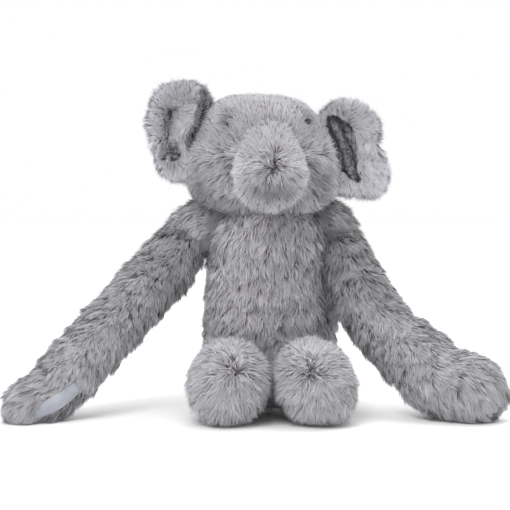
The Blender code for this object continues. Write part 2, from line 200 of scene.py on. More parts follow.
def grid_frames(grid):
    """Outward normals and along-the-rows tangents of a grid that closes round its columns."""
    along = np.gradient(grid, axis=0)
    around = np.roll(grid, -1, axis=1) - np.roll(grid, 1, axis=1)
    normal = np.cross(around, along)
    inside = grid.mean(axis=(0, 1))
    if np.sum((grid - grid.mean(axis=1, keepdims=True)) * normal) < 0.0:
        normal = -normal
    weak = np.linalg.norm(normal, axis=2) < 1e-12
    normal[weak] = (grid - inside)[weak]
    return unit(normal), unit(along)


def on_grid(field, row, column):
    """A grid's field read between its rows and columns."""
    r, c = np.floor(row).astype(int), np.floor(column).astype(int)
    u, v = (row - r)[..., None], (column - c)[..., None]
    r0, r1 = np.clip(r, 0, len(field) - 1), np.clip(r + 1, 0, len(field) - 1)
    c0, c1 = c % field.shape[1], (c + 1) % field.shape[1]
    return ((1 - u) * (1 - v) * field[r0, c0] + (1 - u) * v * field[r0, c1]
            + u * (1 - v) * field[r1, c0] + u * v * field[r1, c1])


def skin_object(name, grid, finish):
    """A closed quad mesh on a grid, its end rows drawn together into poles."""
    rows, columns = grid.shape[:2]
    inner = grid[1:-1].reshape(-1, 3)
    poles = [grid[0].mean(axis=0), grid[-1].mean(axis=0)]
    verts = np.concatenate([inner, poles])
    last = rows - 3
    faces = []
    for c in range(columns):
        d = (c + 1) % columns
        for r in range(last):
            faces.append((r * columns + c, r * columns + d, (r + 1) * columns + d, (r + 1) * columns + c))
        faces.append((len(inner), d, c))
        faces.append((len(inner) + 1, last * columns + c, last * columns + d))
    mesh = bpy.data.meshes.new(name)
    mesh.from_pydata(verts.tolist(), [], faces)
    bm = bmesh.new()
    bm.from_mesh(mesh)
    bmesh.ops.recalc_face_normals(bm, faces=bm.faces)
    bm.to_mesh(mesh)
    bm.free()
    mesh.shade_smooth()
    mesh.materials.append(finish)
    obj = bpy.data.objects.new(name, mesh)
    bpy.context.scene.collection.objects.link(obj)
    sub = obj.modifiers.new("Smooth", 'SUBSURF')
    sub.levels = 1
    sub.render_levels = 1
    return obj


# ---- the pile ------------------------------------------------------------------------------------
def scatter(grid, count, rng):
    """Area-weighted random points on a grid: place, normal, tangent, row and column fractions."""
    rows, columns = grid.shape[:2]
    normal, along = grid_frames(grid)
    right = np.roll(grid, -1, axis=1)
    edge_a = grid[1:] - grid[:-1]
    edge_b = right[:-1] - grid[:-1]
    area = np.linalg.norm(np.cross(edge_a, edge_b), axis=2)
    chance = (area / area.sum()).ravel()
    cell = rng.choice(chance.size, size=count, p=chance)
    r, c = cell // columns, cell % columns
    d = (c + 1) % columns
    u, v = rng.random(count)[:, None], rng.random(count)[:, None]

    def blend(field):
        """The field at each root, from its cell's four corners."""
        return ((1 - u) * (1 - v) * field[r, c] + (1 - u) * v * field[r, d]
                + u * (1 - v) * field[r + 1, c] + u * v * field[r + 1, d])

    return {"p": blend(grid), "n": unit(blend(normal)), "t": unit(blend(along)),
            "row": (r + u[:, 0]) / (rows - 1), "col": (c + v[:, 0]) / columns}


def group(points, size, rng):
    """Share points out to the nearest of some leaders: each point's leader, and its group's four dice."""
    leaders = rng.choice(len(points), size=max(2, int(len(points) / size)), replace=False)
    tree = kdtree.KDTree(len(leaders))
    for i, k in enumerate(leaders):
        tree.insert(points[k], i)
    tree.balance()
    near = np.array([tree.find(p)[1] for p in points])
    return leaders[near], rng.random((len(leaders), 4))[near]


def gather(points, tips, lead, pull):
    """Draw fibre tips together about each group's leading fibre."""
    meet = tips[lead] + (points - points[lead]) * 0.30
    return tips + (meet - tips) * pull[:, None]


def ribbons(name, spine, across, normal, tone, finish):
    """One mesh of tapered ribbons, one for each fibre, shaded softly by the skin's own normals."""
    segments = len(spine) - 1
    count = len(tone)
    taper = (1.0, 1.0, 0.80, 0.55)
    verts = []
    for k in range(segments):
        verts += [spine[k] - across * taper[k], spine[k] + across * taper[k]]
    verts.append(spine[-1])
    per = 2 * segments + 1
    co = np.stack(verts, axis=1).reshape(-1, 3)
    faces = []
    for k in range(segments - 1):
        a = 2 * k
        faces += [(a, a + 1, a + 3), (a, a + 3, a + 2)]
    a = 2 * (segments - 1)
    faces.append((a, a + 1, a + 2))
    loops = (np.arange(count)[:, None] * per + np.array(faces).ravel()[None, :]).ravel()
    tris = count * len(faces)
    mesh = bpy.data.meshes.new(name)
    mesh.vertices.add(len(co))
    mesh.vertices.foreach_set("co", co.ravel())
    mesh.loops.add(len(loops))
    mesh.loops.foreach_set("vertex_index", loops)
    mesh.polygons.add(tris)
    mesh.polygons.foreach_set("loop_start", np.arange(tris) * 3)
    mesh.polygons.foreach_set("use_smooth", np.ones(tris, bool))
    mesh.update(calc_edges=True)
    uv = np.empty((count, per, 2))
    uv[:, :, 0] = tone[:, None] + np.array(([-0.012, 0.012] * segments) + [0.0])[None, :]
    uv[:, :, 1] = np.repeat(np.linspace(0.02, 0.98, segments + 1), 2)[None, :per]
    layer = mesh.uv_layers.new(name="OFBake")
    layer.data.foreach_set("uv", uv.reshape(-1, 2)[loops].ravel())
    flat = unit(np.cross(across, spine[-1] - spine[0]))
    flat *= np.sign(np.sum(flat * normal, axis=1, keepdims=True) + 1e-9)
    soft = unit(normal * SOFT_SHADING + flat * (1.0 - SOFT_SHADING))
    mesh.normals_split_custom_set_from_vertices(np.repeat(soft, per, axis=0))
    mesh.materials.append(finish)
    obj = bpy.data.objects.new(name, mesh)
    bpy.context.scene.collection.objects.link(obj)
    return obj


def pile(name, roots, flow, finish, length=PILE_LENGTH, lean=0.95, tone=0.5, keep=None, seed=1, lock=12,
         pull=0.50, tuft=110, tuft_pull=0.38, width=FIBRE_WIDTH, droop=0.10, frizz=0.07, segments=3,
         wave=0.42, calm=0.0):
    """Long pile rooted on a skin and combed along a flow; returns its pieces.

    Lean is the angle from the skin's normal, and calm, from 0 to 1, evens out the tufts and locks.
    """
    rng = np.random.default_rng(seed)
    count = len(roots["p"])
    fields = [np.broadcast_to(np.asarray(f, float), (count,)) for f in (length, lean, tone, pull, calm)]
    chosen = np.ones(count, bool) if keep is None else keep
    p, n, flow = roots["p"][chosen], roots["n"][chosen], flow[chosen]
    length, lean, tone, pull, calm = [f[chosen].copy() for f in fields]
    lively = 1.0 - calm
    count = len(p)
    flow = unit(flow - n * np.sum(flow * n, axis=1, keepdims=True))
    tuft_lead, tuft_luck = group(p, tuft, rng)
    lock_lead, lock_luck = group(p, lock, rng)
    drift = (waves(p, 0.030, seed + 5) + waves(p, 0.012, seed + 6)) * wave * (0.4 + 0.6 * lively)
    drift += ((tuft_luck[:, 0] - 0.5) * 1.1 + (lock_luck[:, 0] - 0.5) * 0.7) * lively
    flow = unit(flow + np.cross(n, flow) * (drift + rng.normal(size=count) * 0.10)[:, None])
    lift = lean + ((tuft_luck[:, 1] - 0.5) * 0.55 + (lock_luck[:, 1] - 0.5) * 0.25) * lively
    lift = np.clip(lift + rng.normal(size=count) * 0.08, 0.08, 1.40)
    length *= np.clip(1.0 + rng.normal(size=count) * 0.12 + (tuft_luck[:, 2] - 0.5) * 0.35 * lively, 0.4, 1.5)
    way = flow * np.sin(lift)[:, None] + n * np.cos(lift)[:, None]
    tips = p + way * length[:, None] - UP * (length * droop)[:, None]
    tips = gather(p, tips, tuft_lead, np.clip(tuft_pull * lively * rng.uniform(0.4, 1.3, count), 0.0, 0.9))
    tips = gather(p, tips, lock_lead, np.clip(pull * lively * rng.uniform(0.3, 1.4, count), 0.0, 0.92))
    middle = p + (n * 0.70 + way * 0.42) * (length * 0.46)[:, None]
    middle += rng.normal(size=(count, 3)) * (length * frizz)[:, None]
    tips += rng.normal(size=(count, 3)) * (length * frizz)[:, None]
    steps = np.linspace(0.0, 1.0, segments + 1)
    spine = [p * (1 - t) ** 2 + middle * (2 * t * (1 - t)) + tips * t * t for t in steps]
    ground = FLOOR_CLEAR + rng.random(count) * 0.0008
    for q in spine:
        q[:, 2] = np.maximum(q[:, 2], ground)
    face = unit(n + rng.normal(size=(count, 3)) * 0.5)
    across = unit(np.cross(tips - p, face)) * (width * 0.5 * rng.uniform(0.65, 1.35, size=(count, 1)))
    mottle = (lock_luck[:, 3] - 0.5) * 0.30 + (tuft_luck[:, 3] - 0.5) * 0.22
    mottle = mottle + 0.10 * waves(p, 0.014, seed + 10)
    tone = np.clip(tone + mottle * lively + rng.normal(size=count) * 0.04, 0.02, 0.98)
    parts = max(1, math.ceil(count / PIECE_FIBRES))
    pieces = []
    for k in range(parts):
        take = slice(k, None, parts)
        label = name if parts == 1 else f"{name}_{k + 1}"
        pieces.append(ribbons(label, [q[take] for q in spine], across[take], n[take], tone[take], finish))
    return pieces


def swirl_at(p, n, centre, way, facing, reach):
    """Round a swirl on a rounded end: the way out of it, the distance, the end's weight and the heart's."""
    outward = p - centre
    outward -= way * np.sum(outward * way, axis=1, keepdims=True)
    spread = np.linalg.norm(outward, axis=1)
    end_face = smooth(np.sum(n * way, axis=1), *facing)
    return unit(outward), spread, end_face, bump(spread, 0.0, reach) * end_face


# ---- materials -----------------------------------------------------------------------------------
def new_material(name):
    """An empty node material with a Principled shader."""
    made = bpy.data.materials.new(name)
    made.use_nodes = True
    nodes, links = made.node_tree.nodes, made.node_tree.links
    return made, nodes, links, nodes["Principled BSDF"]


def ramp(nodes, stops):
    """A colour ramp node."""
    node = nodes.new("ShaderNodeValToRGB")
    band = node.color_ramp
    while len(band.elements) < len(stops):
        band.elements.new(0.5)
    for element, (at, colour) in zip(band.elements, stops):
        element.position = at
        element.color = (*colour, 1.0)
    return node


def pile_material(name, root, middle, tip, dark=0.55, light=1.22, rough=0.62, sheen=0.25):
    """Pile colour: dark root to pale tip along each fibre, and lighter or darker from lock to lock."""
    made, nodes, links, shader = new_material(name)
    uv = nodes.new("ShaderNodeUVMap")
    uv.uv_map = "OFBake"
    split = nodes.new("ShaderNodeSeparateXYZ")
    links.new(uv.outputs["UV"], split.inputs[0])
    along = ramp(nodes, [(0.0, root), (0.34, middle), (0.72, tip), (1.0, tip)])
    links.new(split.outputs["Y"], along.inputs[0])
    noise = nodes.new("ShaderNodeTexNoise")
    noise.inputs["Scale"].default_value = 60.0
    noise.inputs["Detail"].default_value = 3.0
    links.new(uv.outputs["UV"], noise.inputs["Vector"])
    tone = nodes.new("ShaderNodeMapRange")
    tone.inputs["To Min"].default_value = dark
    tone.inputs["To Max"].default_value = light
    links.new(split.outputs["X"], tone.inputs["Value"])
    vary = nodes.new("ShaderNodeMapRange")
    vary.inputs["To Min"].default_value = 0.88
    vary.inputs["To Max"].default_value = 1.12
    links.new(noise.outputs["Fac"], vary.inputs["Value"])
    both = nodes.new("ShaderNodeMath")
    both.operation = 'MULTIPLY'
    links.new(tone.outputs[0], both.inputs[0])
    links.new(vary.outputs[0], both.inputs[1])
    shade = nodes.new("ShaderNodeVectorMath")
    shade.operation = 'SCALE'
    links.new(along.outputs["Color"], shade.inputs[0])
    links.new(both.outputs[0], shade.inputs["Scale"])
    links.new(shade.outputs["Vector"], shader.inputs["Base Color"])
    shader.inputs["Roughness"].default_value = rough
    shader.inputs["Specular IOR Level"].default_value = 0.25
    shader.inputs["Sheen Weight"].default_value = sheen
    shader.inputs["Sheen Roughness"].default_value = 0.5
    return made


def cloth_material(name, colours, scale=900.0, bump=0.35, depth=0.0006, sheen=0.3, rough=0.9):
    """Short cloth: mottled colour and a fine nap in the bump."""
    made, nodes, links, shader = new_material(name)
    place = nodes.new("ShaderNodeTexCoord")
    mottle = nodes.new("ShaderNodeTexNoise")
    mottle.inputs["Scale"].default_value = 60.0
    mottle.inputs["Detail"].default_value = 6.0
    links.new(place.outputs["Object"], mottle.inputs["Vector"])
    stops = [(0.25 + 0.5 * i / (len(colours) - 1), c) for i, c in enumerate(colours)]
    tint = ramp(nodes, stops)
    links.new(mottle.outputs["Fac"], tint.inputs[0])
    links.new(tint.outputs["Color"], shader.inputs["Base Color"])
    nap = nodes.new("ShaderNodeTexNoise")
    nap.inputs["Scale"].default_value = scale
    nap.inputs["Detail"].default_value = 4.0
    links.new(place.outputs["Object"], nap.inputs["Vector"])
    relief = nodes.new("ShaderNodeBump")
    relief.inputs["Strength"].default_value = bump
    relief.inputs["Distance"].default_value = depth
    links.new(nap.outputs["Fac"], relief.inputs["Height"])
    links.new(relief.outputs["Normal"], shader.inputs["Normal"])
    shader.inputs["Roughness"].default_value = rough
    shader.inputs["Sheen Weight"].default_value = sheen
    shader.inputs["Specular IOR Level"].default_value = 0.2
    return made


BACKING = cloth_material("PileBacking", [(0.16, 0.135, 0.135), (0.24, 0.215, 0.22), (0.30, 0.28, 0.29)])
PILE = pile_material("LongPile", (0.17, 0.135, 0.135), (0.40, 0.375, 0.390), (0.60, 0.59, 0.625),
                     dark=0.42, light=1.36)
LINING = cloth_material("EarLiningCloth", [(0.02, 0.018, 0.02), (0.06, 0.057, 0.062), (0.12, 0.115, 0.125)])
LINING_PILE = pile_material("EarLiningPile", (0.03, 0.026, 0.028), (0.14, 0.135, 0.145), (0.34, 0.33, 0.355),
                            dark=0.12, light=1.30, sheen=0.2)
PALM = cloth_material("PalmCloth", [(0.28, 0.29, 0.33), (0.35, 0.363, 0.405), (0.42, 0.433, 0.475)],
                      scale=1600.0, depth=0.0003)


# ---- torso ---------------------------------------------------------------------------------------
low, high = box("torso_skin")
neck = PIVOT["neck_turn"]
wide, deep, tall = (high - low)[0] / 2.0 - SKIN_INSET + 0.0015, (high - low)[1] / 2.0 - SKIN_INSET, high[2]
TORSO_LEVELS = [  # height, half width and half depth as shares of the CAD torso's
    (0.008, 0.00, 0.00), (0.008, 0.80, 0.72), (0.05, 0.93, 0.88), (0.26, 0.985, 0.98), (0.52, 0.965, 0.97),
    (0.78, 0.90, 0.92), (0.94, 0.82, 0.84), (1.02, 0.62, 0.66), (1.055, 0.34, 0.40), (1.06, 0.00, 0.00)]
torso_grid = stacked_grid([(h * tall, 0.0, 0.0, w * wide, d * deep) for h, w, d in TORSO_LEVELS], 46, 48, 2.5)
swell = waves(torso_grid, 0.045, 3) * 0.0016 + fold_at(torso_grid) * 0.0007
torso_grid += grid_frames(torso_grid)[0] * swell[:, :, None]
torso_grid[:, :, 2] = np.maximum(torso_grid[:, :, 2], FLOOR_LIFT)
torso_skin = skin_object("torso_padded_skin", torso_grid, BACKING)

roots = scatter(torso_grid, FIBRES["torso"], np.random.default_rng(11))
p, n = roots["p"], roots["n"]
flow = -UP + np.array([3.0, 0.0, 0.0]) * p[:, :1] + 0.25 * FRONT * smooth(p[:, 2:3], 0.15, 0.20)
hidden = (np.hypot(p[:, 0], p[:, 1]) < 0.028) & (p[:, 2] > 0.17)
for side in SIDES:
    hidden |= np.linalg.norm(p - PIVOT[f"{side}_shoulder_swing"], axis=1) < BARE["shoulder"]
    hip = PIVOT[f"{side}_hip_flex"]
    hidden |= (np.hypot(p[:, 0] - hip[0], p[:, 2] - hip[2]) < BARE["hip"]) & (p[:, 1] < 0.0)
chest = smooth(p[:, 2], 0.13, 0.18)
seated = p[:, 2] < 0.004
# Painted light and shade in the torso pile's tone: lighter on the ridges of the level folds, lighter on the
# chest as painted light against the head's shade, and darker in the lowest two centimetres as painted shade
# where the body sits on the floor.
lit_fold_ridge = smooth(fold_at(p), 0.2, 0.9)
tone = 0.50 + 0.05 * waves(p, 0.030, 21) + 0.06 * lit_fold_ridge + 0.12 * chest - 0.20 * smooth(p[:, 2], 0.02, 0.0)
# Painted shade: darker pile in the armpits, where the arms meet the body.
tone -= 0.32 * bump3(np.abs(p), (0.050, 0.030, 0.176), (0.008, 0.03, 0.022))
torso_pile = pile("torso_long_pile", roots, flow, PILE, seed=31, keep=~hidden, lock=10, pull=0.45, tuft=70,
                  length=np.where(seated, 0.005, 0.0115 + 0.002 * chest), lean=1.05, frizz=0.10, tone=tone)

# The shoulders: padded mounds of the body that the arms are sewn into.
shoulders = {}
for side, sign in SIDES.items():
    joint = PIVOT[f"{side}_shoulder_swing"]
    reach, thick = (0.015, 0.0220) if side == "right" else (0.003, 0.0200)
    path = [(sign * 0.022, -0.002, joint[2] + 0.020), (sign * 0.050, -0.003, joint[2] + 0.018),
            joint + np.array([sign * (reach - 0.016), 0.0, 0.007]),
            joint + np.array([sign * reach, 0.0, -0.003])]
    grid = tube_grid(path, [(0.0, 0.010), (0.10, 0.018), (0.60, thick)] + round_end(0.62, 1.0, thick), 26, 30)
    skin = skin_object(f"{side}_shoulder_padded_skin", grid, BACKING)
    roots = scatter(grid, FIBRES["shoulder"], np.random.default_rng(51 + int(sign)))
    p, n = roots["p"], roots["n"]
    out = np.array([sign, 0.0, 0.0])
    flow = out * 0.8 - UP * 0.55 + FRONT * 0.15
    under = (p[:, 0] * sign > joint[0] * sign - 0.002) & (p[:, 2] < joint[2] - 0.004)
    inside = (p[:, 0] * sign < 0.044) | under
    tone = (0.36 if side == "right" else 0.30) + 0.05 * waves(p, 0.02, 30)
    # Painted shade: darker pile at the armpit, under the shoulder's front.
    tone -= 0.30 * bump3(p, (sign * 0.050, -0.020, 0.178), (0.008, 0.03, 0.02))
    made = pile(f"{side}_shoulder_long_pile", roots, np.tile(flow, (len(p), 1)), PILE, seed=53 + int(sign),
                keep=~inside, length=0.0130, lean=1.0, tone=tone)
    shoulders[side] = (skin, made)

# ---- head ----------------------------------------------------------------------------------------
low, high = box("head_skin")
HEAD_LEVELS = [  # height over the neck joint, centre x, half width, half depth, in metres
    (0.000, -0.003, 0.000, 0.000), (0.003, -0.003, 0.030, 0.026), (0.008, -0.003, 0.050, 0.040),
    (0.019, -0.004, 0.0655, 0.052), (0.033, -0.006, 0.0715, 0.057), (0.050, -0.006, 0.0705, 0.057),
    (0.066, -0.006, 0.0655, 0.055), (0.082, -0.008, 0.0590, 0.052), (0.096, -0.009, 0.0520, 0.046),
    (0.106, -0.010, 0.0430, 0.038), (0.1120, -0.011, 0.0280, 0.026), (0.1140, -0.011, 0.000, 0.000)]
head_mid = (high + low)[1] / 2.0 - 0.002
head_grid = stacked_grid([(neck[2] + h, x, head_mid, w, d) for h, x, w, d in HEAD_LEVELS], 44, 52, 2.2)
away = (head_grid - np.array([0.0, head_mid, 0.0]))[:, :, :2]
cheek = smooth(-away[:, :, 1], 0.010, 0.045) * bump(np.abs(head_grid[:, :, 0]), 0.042, 0.022)
cheek *= bump(head_grid[:, :, 2], neck[2] + 0.030, 0.020)
head_grid += grid_frames(head_grid)[0] * (cheek * 0.007 + waves(head_grid, 0.05, 4) * 0.0014)[:, :, None]
head_skin = skin_object("head_padded_skin", head_grid, BACKING)

roots = scatter(head_grid, FIBRES["head"], np.random.default_rng(12))
p, n = roots["p"], roots["n"]
trunk_root = PIVOT["trunk_lift"]
level = (p[:, 2] - neck[2]) / 0.112
face = smooth(head_mid - p[:, 1], -0.005, 0.025)
lower = smooth(level, 0.62, 0.40)
flow = np.stack([p[:, 0] * 9.0 + np.sign(p[:, 0]) * 0.8 * lower * smooth(np.abs(p[:, 0]), 0.02, 0.06),
                 0.25 + 0.65 * (1.0 - lower),
                 face * (1.0 - lower) * 0.9 - lower - (1.0 - face) * 0.7], axis=1)
hidden = np.linalg.norm(p - neck, axis=1) < BARE["neck"]
hidden |= np.linalg.norm(p - trunk_root, axis=1) < BARE["trunk"]
crown = smooth(level, 0.55, 0.85)
length = 0.0115 - 0.0030 * crown
lean = 1.02 + 0.14 * crown
# The pile darkens towards the bottom of the head: painted shade under the head.
tone = 0.46 + 0.10 * crown + 0.05 * waves(p, 0.022, 22) - 0.16 * smooth(level, 0.25, 0.0)
for side in SIDES:
    low, high = box(f"{side}_eye")
    eye = (low + high) / 2.0
    brow = bump3(p, eye + np.array([0.0, 0.0, 0.006]), 0.008)
    flow += -UP * brow[:, None] * 2.5
    lean -= 0.42 * brow
    length += 0.0040 * brow
    # Painted shade: darker pile in the opening round each eye bead, more on the right eye.
    slit = bump3(p, eye + np.array([0.0, 0.0, 0.002]), (0.0040, 0.02, 0.0085))
    tone -= (0.50 if side == "right" else 0.25) * slit
    hidden |= bump3(p, eye, (0.0032, 0.02, 0.0052)) > 0.5
ruffle = bump3(p, trunk_root + np.array([0.016, 0.0, 0.030]), (0.012, 0.02, 0.007))
tone -= 0.05 * ruffle
lean -= 0.08 * ruffle
# Painted shade in the hollows either side of the trunk's root.
shade_beside_trunk = bump3(p, trunk_root + np.array([-0.033, 0.0, -0.012]), (0.006, 0.03, 0.014))
shade_beside_trunk += bump3(p, trunk_root + np.array([0.036, 0.0, -0.020]), (0.008, 0.03, 0.014))
tone -= 0.22 * shade_beside_trunk
# Painted shade in the gap between the right ear and the head.
tone -= 0.60 * bump3(p, (-0.064, -0.012, neck[2] + 0.086), (0.007, 0.04, 0.022))
forehead = smooth(level, 0.50, 0.72) * (1.0 - ruffle)
shade_side = 1.5 * bump3(p, (-0.050, -0.040, neck[2] + 0.034), (0.018, 0.03, 0.020))
shade_side += 2.2 * bump3(p, (-0.062, -0.020, neck[2] + 0.018), (0.012, 0.04, 0.014))
shade_side += 2.2 * bump3(p, (0.046, -0.040, neck[2] + 0.034), (0.009, 0.03, 0.014))
trunk_way = unit(PIVOT["trunk_curl"] - trunk_root)
off_trunk = p - trunk_root
off_axis = np.linalg.norm(off_trunk - trunk_way * (off_trunk @ trunk_way)[:, None], axis=1)
collar = bump(off_axis, 0.024, 0.009) * smooth(-p[:, 1], 0.030, 0.050)
flow += trunk_way * (collar * 0.7)[:, None]
length += 0.0010 * collar
tone += 0.10 * collar
cheeks = smooth(np.abs(p[:, 0]), 0.030, 0.055) * smooth(level, 0.15, 0.45)
head_pile = pile("head_long_pile", roots, flow, PILE, length=length, lean=lean, keep=~hidden, seed=32,
                 tone=tone - 0.19 * forehead - 0.22 * shade_side, lock=10, pull=0.42, frizz=0.08,
                 calm=np.clip(0.80 * forehead + 0.45 * cheeks, 0, 0.85))

# ---- trunk ---------------------------------------------------------------------------------------
knuckle = PIVOT["trunk_curl"]
low, high = box("trunk_tip_skin")
tip_way = unit(knuckle - trunk_root)
trunk_radius = (high - low)[0] / 2.0 - SKIN_INSET
reach = (knuckle[1] - low[1]) / -tip_way[1] * 0.97
tip_way = unit(tip_way + np.array([0.0, 0.0, -0.05]))
trunk_end = knuckle + tip_way * (reach - 0.004)
path = [trunk_root - tip_way * 0.022, trunk_root, knuckle, trunk_end]
radii = [(0.0, 0.0090), (0.08, trunk_radius * 0.68), (0.36, trunk_radius * 0.82), (0.62, trunk_radius * 0.97),
         (0.78, trunk_radius * 1.07)] + round_end(0.80, 1.0, trunk_radius * 1.07)
trunk_grid = tube_grid(path, radii, 34, 36, flat=(1.05, 1.04))
trunk_skin = skin_object("trunk_padded_skin", trunk_grid, BACKING)
roots = scatter(trunk_grid, FIBRES["trunk"], np.random.default_rng(13))
p, n = roots["p"], roots["n"]
swirl = trunk_end + np.array([0.002, 0.0, 0.0150])
outward, spread, end_face, heart = swirl_at(p, n, swirl, tip_way, (0.15, 0.65), 0.010)
ends = end_face[:, None]
flow = outward * ends + (1.0 - ends) * (-tip_way * 0.9 + outward * 0.3) - UP * 0.18
flow += ruffled(p, 0.009, 61) * (0.35 + 2.2 * heart)[:, None]
at_end = smooth(n @ tip_way, 0.0, 0.4)
blunt = bump3(p, trunk_end - UP * 0.0020, (0.015, 0.02, 0.0085)) * at_end
# The blunt end's underside is darker: partly the short pile's own darker nap, partly painted shade in the
# crease under the trunk's tip.
nose = bump3(p, trunk_end + np.array([0.003, 0.0, -0.0015]), (0.016, 0.02, 0.0085)) * at_end
partings = smooth(waves(p, 0.0065, 29), 0.20, 0.55) * bump(spread, 0.0, 0.014) * end_face
above = smooth(p[:, 2] - trunk_end[2], 0.010, 0.030) * (1.0 - end_face)
tone = 0.54 + 0.04 * waves(p, 0.015, 23) + 0.14 * heart - 0.38 * partings - 0.70 * nose - 0.30 * above
trunk_pile = pile("trunk_long_pile", roots, flow, PILE, seed=33, lock=10, pull=0.42, droop=0.08, frizz=0.12,
                  length=0.0125 * (1.0 - 0.50 * blunt), lean=0.88 - 0.40 * heart + 0.25 * blunt, wave=0.6,
                  tone=tone, calm=np.clip(0.35 + 0.3 * above, 0.0, 0.8))

# ---- ears ----------------------------------------------------------------------------------------
# Reach of each ear's skin edge from its middle, in metres, every 30 degrees from the toy's left, going up.
EAR_REACH = {"right": (0.014, 0.023, 0.0425, 0.0430, 0.0370, 0.029,
                       0.0245, 0.0240, 0.035, 0.0440, 0.032, 0.017),
             "left": (0.0175, 0.0190, 0.031, 0.0415, 0.0480, 0.040,
                      0.023, 0.026, 0.041, 0.0390, 0.0425, 0.029)}
EAR_MIDDLE = {"right": (0.0030, 0.0030), "left": (-0.0030, 0.0)}    # shift from the CAD ear's middle, x and z
EAR_CUP = {"right": 0.016, "left": 0.013}                           # how far forward the rim curls
EAR_THICK = 0.0055
LINING_MARGIN = (1.12, 1.10)                 # the cloth reaches under the pile round it: across and up
LINING_FRONT, LINING_BACK, LINING_COLUMNS = 22, 12, 56
# Each lining's middle, from its ear's middle, and its half width and half height.
LININGS = {"right": ((-0.0055, -0.0190), (0.0068, 0.0100)), "left": ((-0.0115, 0.0015), (0.0130, 0.0300))}


def ear_groove(x, z):
    """The right ear's long fold: its middle line at a height, and a weight across it."""
    line = -0.0115 + 0.10 * z
    return line, bump(x, line, 0.0030) * smooth(z, -0.032, -0.020)


def ear_reach(side, angle):
    """How far an ear's edge is from its middle, at an angle."""
    values = np.array(EAR_REACH[side])
    return round_interp(values, np.mod(angle, 2.0 * math.pi) / (2.0 * math.pi) * len(values))


def ear_point(side, share, angle, front):
    """A point on an ear's front or back face: share is 0 at its middle and 1 at its rim."""
    low, high = box(f"{side}_ear_back")
    middle = (low + high) / 2.0
    reach = ear_reach(side, angle)
    x, z = share * np.cos(angle) * reach, share * np.sin(angle) * reach
    bulge = front * EAR_THICK * np.sqrt(np.maximum(1.0 - share ** 4, 0.0))
    y = 0.0 * x + high[1] - 0.007 - EAR_CUP[side] * share ** 2.2 - bulge
    inward = smooth(-SIDES[side] * x, 0.002, 0.018)
    x = x - SIDES[side] * 0.011 * inward * smooth(-front, -0.2, 0.8) * (1.0 - share ** 6)
    if side == "right":
        y = y + ear_groove(x, z)[1] * smooth(z, 0.026, 0.016) * 0.0065 * (front > 0)
    shift = EAR_MIDDLE[side]
    return np.stack([x + middle[0] + shift[0], y, z + middle[2] + shift[1]], axis=-1)


def lining_bow(side, rise):
    """How far sideways a lining's middle line runs, at a height above the lining's middle."""
    if side == "right":
        return 0.15 * rise
    return -0.36 * rise + 0.0028 * np.sin(rise / 0.0085 + 0.4)


def lining_width(side, rise):
    """How wide a lining is there: the left one narrows downwards."""
    return 1.0 + (7.0 * rise if side == "left" else 0.0 * rise)


